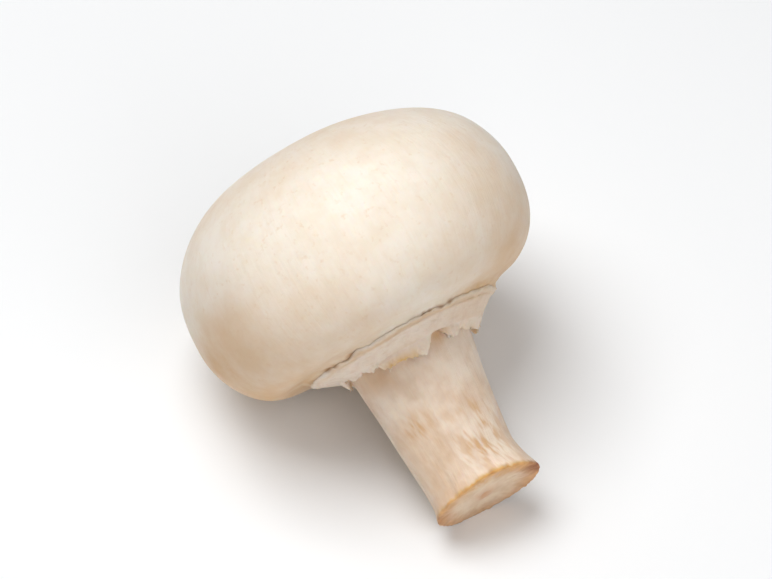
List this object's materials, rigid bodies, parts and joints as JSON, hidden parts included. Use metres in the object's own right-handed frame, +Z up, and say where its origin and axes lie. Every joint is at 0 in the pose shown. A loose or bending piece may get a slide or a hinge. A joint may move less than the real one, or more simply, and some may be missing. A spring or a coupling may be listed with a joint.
{
  "type": "button mushroom",
  "caption": "Closed-cup button mushroom lying on its side, with a domed cap, a torn veil over the gills and a short cut stem.",
  "frame": {"origin": "middle of the footprint, on the surface that the mushroom lies on", "axes": "+X along the mushroom's length, the way its stem points; +Y across it; +Z up"},
  "size_m": [0.0496, 0.0444, 0.042],
  "materials": {
    "flesh": "matte"
  },
  "bodies": {
    "root": {"button_mushroom": "flesh"}
  },
  "joints": []
}
